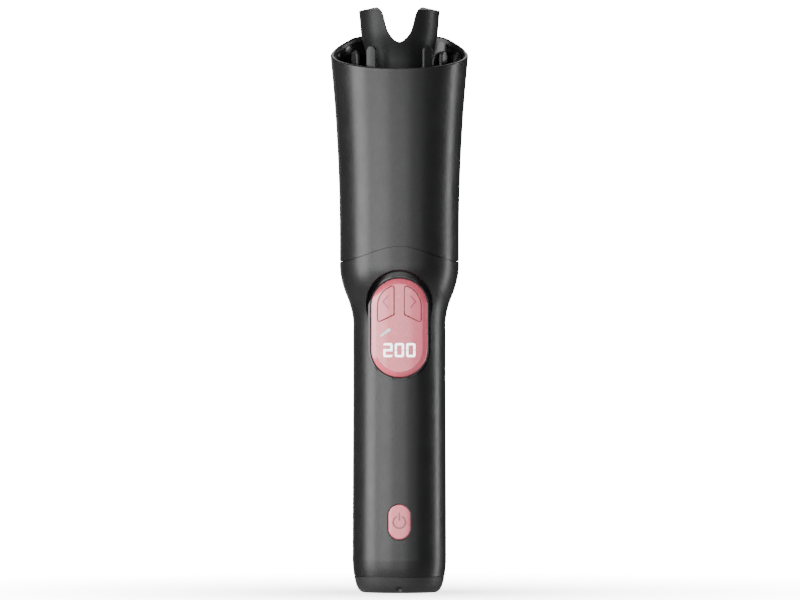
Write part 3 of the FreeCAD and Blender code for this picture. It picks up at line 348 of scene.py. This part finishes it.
# The table fades from pale grey under the curler to the backdrop's white further out.
low, high = cad_box
backdrop_strength = 18.0
table, tree, shader, place = new_material("pale_table")
mottle = noise(tree, place, 12, 3)
tree.links.new(two_tone(tree, mottle, (0.78, 0.78, 0.78), (0.82, 0.82, 0.82)), shader.inputs["Base Color"])
reach = tree.nodes.new("ShaderNodeVectorMath")
reach.operation = "LENGTH"
tree.links.new(place, reach.inputs[0])
glow = spread(tree, reach.outputs["Value"], 3.0, backdrop_strength, 0.03, 0.34)
tree.links.new(glow, shader.inputs["Emission Strength"])
set_values(shader, Roughness=0.8, Emission_Color=(1, 1, 1, 1))
clear = tree.nodes.new("ShaderNodeBsdfTransparent")
surface = seen_and_bounced(tree, shader.outputs["BSDF"], clear.outputs["BSDF"])
tree.links.new(surface, tree.nodes["Material Output"].inputs["Surface"])
bpy.ops.mesh.primitive_plane_add(size=12, location=(0, 0, low[2] - 0.0002))
table_top = bpy.context.object
table_top.name = "table_top"
table_top.data.materials.append(table)

world = bpy.data.worlds.new("studio")
bpy.context.scene.world = world
world.use_nodes = True
world_tree = world.node_tree
backdrop = world_tree.nodes["Background"]
backdrop.inputs["Color"].default_value = (1, 1, 1, 1)
backdrop.inputs["Strength"].default_value = backdrop_strength
# The curler itself sees a dim room over a paler floor.
direction = world_tree.nodes.new("ShaderNodeTexCoord")
height = coordinates(world_tree, direction.outputs["Generated"])["Z"]
dim = world_tree.nodes.new("ShaderNodeBackground")
dim.inputs["Color"].default_value = (1, 1, 1, 1)
room = spread(world_tree, height, 0.50, 0.07, -0.55, -0.15)
world_tree.links.new(room, dim.inputs["Strength"])
surface = seen_and_bounced(world_tree, backdrop.outputs["Background"], dim.outputs["Background"])
world_tree.links.new(surface, world_tree.nodes["World Output"].inputs["Surface"])

view_height = 0.1400
middle = Vector(((low[0] + high[0]) / 2, 0, view_height))


def softbox(name, azimuth, elevation, distance, width, height, power):
    """An area light facing the curler. Azimuth 0 is the camera's side and 90 the viewer's right."""
    turn = math.radians(azimuth)
    lift = math.radians(elevation)
    offset = Vector((math.sin(turn) * math.cos(lift), -math.cos(turn) * math.cos(lift), math.sin(lift)))
    lamp = bpy.data.lights.new(name, "AREA")
    lamp.shape = "RECTANGLE"
    lamp.size = width
    lamp.size_y = height
    lamp.energy = power
    holder = bpy.data.objects.new(name, lamp)
    holder.location = middle + offset * distance
    holder.rotation_euler = (-offset).to_track_quat("-Z", "Y").to_euler()
    bpy.context.scene.collection.objects.link(holder)


softbox("left_key_light", -75, 12, 1.5, 0.80, 1.5, 29)
softbox("left_front_light", -36, 12, 3.0, 2.1, 2.7, 92)
softbox("front_light", 2, 10, 5.0, 3.0, 4.2, 116)
softbox("right_front_light", 32, 14, 3.0, 1.3, 2.3, 11)
softbox("right_strip_light", 108, 5, 1.5, 0.25, 1.6, 9.5)
softbox("left_edge_light", -160, 4, 1.5, 0.10, 1.6, 0.9)
softbox("top_light", 0, 88, 1.6, 0.9, 0.9, 3)
softbox("back_light", 176, 34, 2.6, 1.2, 1.2, 6)

view_distance = 4.0
picture_width = 0.3836
camera_data = bpy.data.cameras.new("camera")
camera_data.lens = camera_data.sensor_width * view_distance / picture_width
camera_data.clip_end = 100
camera = bpy.data.objects.new("camera", camera_data)
camera.location = (0.0003, -view_distance, view_height)
camera.rotation_euler = (math.pi / 2, 0, 0)
bpy.context.scene.collection.objects.link(camera)
bpy.context.scene.camera = camera
